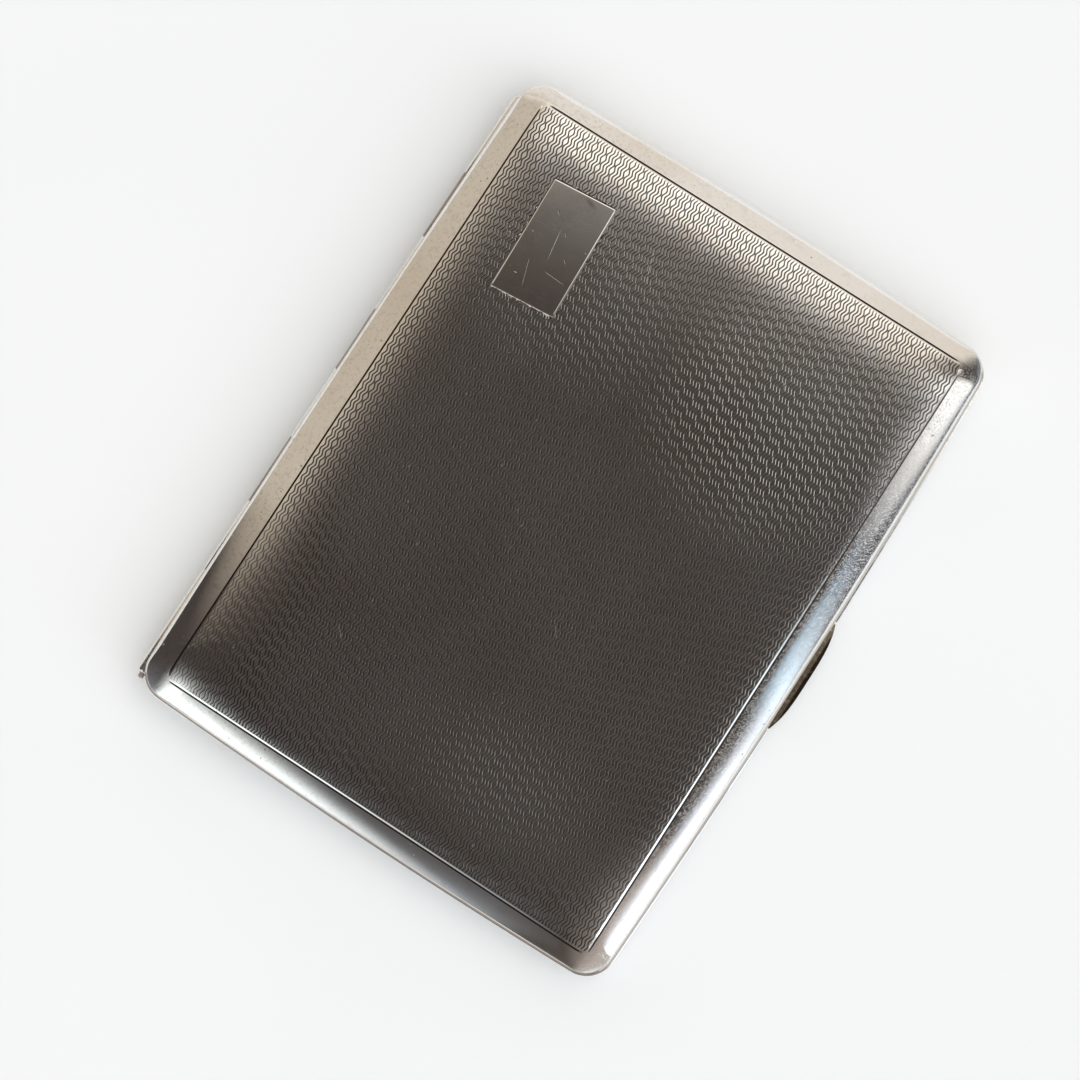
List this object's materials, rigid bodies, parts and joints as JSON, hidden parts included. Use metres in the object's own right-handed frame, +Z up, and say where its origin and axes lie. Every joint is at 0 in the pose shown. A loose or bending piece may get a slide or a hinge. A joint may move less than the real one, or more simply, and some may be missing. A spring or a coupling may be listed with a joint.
{
  "type": "cigarette case",
  "caption": "Slim hinged pocket case of pressed silver sheet with rolled edges, a sprung thumbpiece catch and an elastic retaining band in each half.",
  "frame": {"origin": "centre of the bounding box's underside, on the surface the closed case lies on", "axes": "+Z up out of the lid's face, +Y along the case's long side, +X across it from the hinge to the thumbpiece"},
  "size_m": [0.084, 0.11, 0.0094],
  "materials": {
    "silver": "polished sterling silver, engine-turned face, fine scratches and light tarnish",
    "silver_worn": "silver with old polish marks and tarnish in its corners",
    "gilt": "soft worn gilding over silver",
    "steel": "hard-drawn, dull",
    "webbing": "woven elastic ribbon, matt, with a slight silk sheen"
  },
  "bodies": {
    "base": {"base_shell": "silver", "base_bezel_1": "silver_worn", "base_bezel_2": "silver_worn", "base_knuckle_1": "silver", "base_knuckle_2": "silver", "base_knuckle_3": "silver", "base_knuckle_4": "silver", "hinge_pin": "steel", "base_bearer": "silver_worn", "catch_spring": "steel", "spring_block": "silver_worn", "spring_rivet_1": "silver_worn", "spring_rivet_2": "silver_worn", "base_elastic": "webbing", "base_keeper_1": "gilt", "base_keeper_2": "gilt"},
    "lid": {"lid_shell": "silver", "lid_knuckle_1": "silver", "lid_knuckle_2": "silver", "lid_knuckle_3": "silver", "lid_knuckle_4": "silver", "lid_bearer": "silver_worn", "lid_striker": "silver_worn", "lid_elastic": "webbing", "lid_keeper_1": "gilt", "lid_keeper_2": "gilt"},
    "thumb": {"thumbpiece": "silver_worn", "catch_hook": "silver_worn"}
  },
  "joints": [
    {"name": "lid_hinge", "type": "hinge", "parent": "base", "child": "lid", "pos_m": [-0.041, 0, 0.0047], "axis": [0, -1, 0], "range_deg": [0, 178]},
    {"name": "thumb_press", "type": "slide", "parent": "base", "child": "thumb", "axis": [-1, 0, 0], "range_m": [0, 0.0006], "stiffness_N_per_m": 1500, "deforming": ["catch_spring"]}
  ]
}
